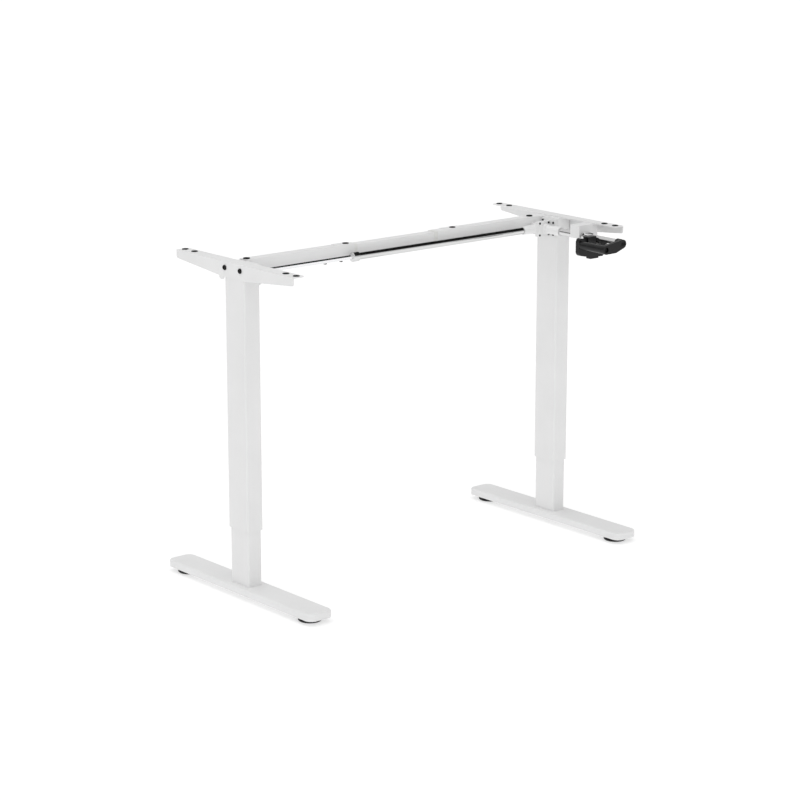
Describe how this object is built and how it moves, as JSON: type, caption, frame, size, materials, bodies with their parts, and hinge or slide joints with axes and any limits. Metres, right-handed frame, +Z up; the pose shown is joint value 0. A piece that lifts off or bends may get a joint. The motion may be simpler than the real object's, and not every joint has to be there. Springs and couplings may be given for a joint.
{
  "type": "height adjustable desk frame",
  "caption": "Hand-cranked height adjustable desk frame: two telescoping legs on long feet, crossbeam, side brackets, cross shaft and fold-in crank handle.",
  "frame": {"origin": "on the floor, midway between the two legs, on the centre plane of the columns", "axes": "+X along the desk from the left leg to the right leg, -Y towards the crank side (the user), +Z up"},
  "size_m": [1.115, 0.605, 0.85],
  "materials": {
    "white_paint": "satin powder coat",
    "black_screws": "black zinc",
    "white_plastic": "natural",
    "plain_steel": "zinc plated",
    "dark_steel": "oiled",
    "chrome": "polished",
    "black_plastic": "fine grain",
    "black_rubber": "matt"
  },
  "bodies": {
    "left_base": {"left_foot": "white_paint", "left_foot_screws": "black_screws", "left_inner_column": "white_paint", "left_slide_collar": "white_plastic", "left_nut_tube": "plain_steel", "left_drive_nut": "white_plastic"},
    "right_base": {"right_foot": "white_paint", "right_foot_screws": "black_screws", "right_inner_column": "white_paint", "right_slide_collar": "white_plastic", "right_nut_tube": "plain_steel", "right_drive_nut": "white_plastic"},
    "left_front_foot_pad": {"left_front_leveller": "black_plastic"},
    "left_rear_foot_pad": {"left_rear_leveller": "black_plastic"},
    "right_front_foot_pad": {"right_front_leveller": "black_plastic"},
    "right_rear_foot_pad": {"right_rear_leveller": "black_plastic"},
    "top_frame": {"left_outer_column": "white_paint", "right_outer_column": "white_paint", "column_liners": "white_plastic", "head_plates": "white_paint", "left_side_bracket": "white_paint", "right_side_bracket": "white_paint", "bracket_bolts": "black_screws", "bracket_pads": "black_rubber", "left_beam": "white_paint", "middle_beam": "white_paint", "right_beam": "white_paint", "beam_liners": "white_plastic", "beam_clamp_screws": "black_screws", "beam_pads": "black_rubber", "bearing_carriers": "plain_steel", "screw_bearings": "plain_steel", "left_shaft_sleeve": "white_paint", "crank_gearbox": "white_paint", "gearbox_cover": "white_paint", "shaft_bushes": "white_plastic", "housing_screws": "black_screws", "crank_hanger": "white_paint", "handle_holder": "black_plastic"},
    "left_screw": {"left_lead_screw": "plain_steel", "left_screw_bevel": "dark_steel"},
    "right_screw": {"right_lead_screw": "plain_steel", "right_screw_bevel": "dark_steel"},
    "cross_shaft": {"shaft_bevels": "dark_steel", "hex_rod": "dark_steel", "drive_tube": "chrome", "drive_stub": "plain_steel", "shaft_coupler": "chrome", "coupler_screws": "black_screws"},
    "crank_input": {"crank_bevel": "dark_steel", "crank_rod": "chrome", "joint_fork_rear": "chrome", "joint_cross": "dark_steel", "joint_fork_front": "chrome"},
    "crank_guide": {"guide_bar": "plain_steel"},
    "crank_handle": {"crank_tube": "chrome", "crank_arm": "black_plastic", "arm_screw": "black_screws", "grip_axle": "black_screws"},
    "grip_body": {"grip": "black_plastic"}
  },
  "joints": [
    {"name": "lift", "type": "slide", "parent": "left_base", "child": "top_frame", "axis": [0, 0, 1], "range_m": [-0.138, 0.312]},
    {"name": "right_leg_slide", "type": "slide", "parent": "top_frame", "child": "right_base", "axis": [0, 0, -1], "range_m": [-0.138, 0.312]},
    {"name": "left_screw_turn", "type": "hinge", "parent": "top_frame", "child": "left_screw", "pos_m": [-0.52, 0, 0.818], "axis": [0, 0, 1], "range_deg": [-8281, 18721]},
    {"name": "right_screw_turn", "type": "hinge", "parent": "top_frame", "child": "right_screw", "pos_m": [0.52, 0, 0.818], "axis": [0, 0, -1], "range_deg": [-8281, 18721]},
    {"name": "cross_shaft_turn", "type": "hinge", "parent": "top_frame", "child": "cross_shaft", "pos_m": [0, 0, 0.818], "axis": [1, 0, 0], "range_deg": [-8281, 18721]},
    {"name": "crank_input_turn", "type": "hinge", "parent": "top_frame", "child": "crank_input", "pos_m": [0.475, -0.1, 0.818], "axis": [0, 1, 0], "range_deg": [-8281, 18721]},
    {"name": "crank_turn", "type": "hinge", "parent": "top_frame", "child": "crank_guide", "pos_m": [0.475, -0.2, 0.818], "axis": [0, -1, 0], "range_deg": [-140, 168]},
    {"name": "crank_pull", "type": "slide", "parent": "crank_guide", "child": "crank_handle", "axis": [0, -1, 0], "range_m": [0, 0.08]},
    {"name": "grip_spin", "type": "hinge", "parent": "crank_handle", "child": "grip_body", "pos_m": [0.41574, -0.26, 0.80861], "axis": [0, -1, 0], "continuous": true},
    {"name": "left_front_foot_turn", "type": "hinge", "parent": "left_base", "child": "left_front_foot_pad", "pos_m": [-0.52, -0.257, 0.012], "axis": [0, 0, 1], "range_deg": [0, 2880]},
    {"name": "left_rear_foot_turn", "type": "hinge", "parent": "left_base", "child": "left_rear_foot_pad", "pos_m": [-0.52, 0.247, 0.012], "axis": [0, 0, 1], "range_deg": [0, 2880]},
    {"name": "right_front_foot_turn", "type": "hinge", "parent": "right_base", "child": "right_front_foot_pad", "pos_m": [0.52, -0.257, 0.012], "axis": [0, 0, 1], "range_deg": [0, 2880]},
    {"name": "right_rear_foot_turn", "type": "hinge", "parent": "right_base", "child": "right_rear_foot_pad", "pos_m": [0.52, 0.247, 0.012], "axis": [0, 0, 1], "range_deg": [0, 2880]}
  ],
  "couplings": [
    {"joint": "right_leg_slide", "follows": "lift", "ratio": 1},
    {"joint": "left_screw_turn", "follows": "lift", "rad_per_m": 1047.2},
    {"joint": "right_screw_turn", "follows": "lift", "rad_per_m": 1047.2},
    {"joint": "cross_shaft_turn", "follows": "lift", "rad_per_m": 1047.2},
    {"joint": "crank_input_turn", "follows": "lift", "rad_per_m": 1047.2}
  ]
}
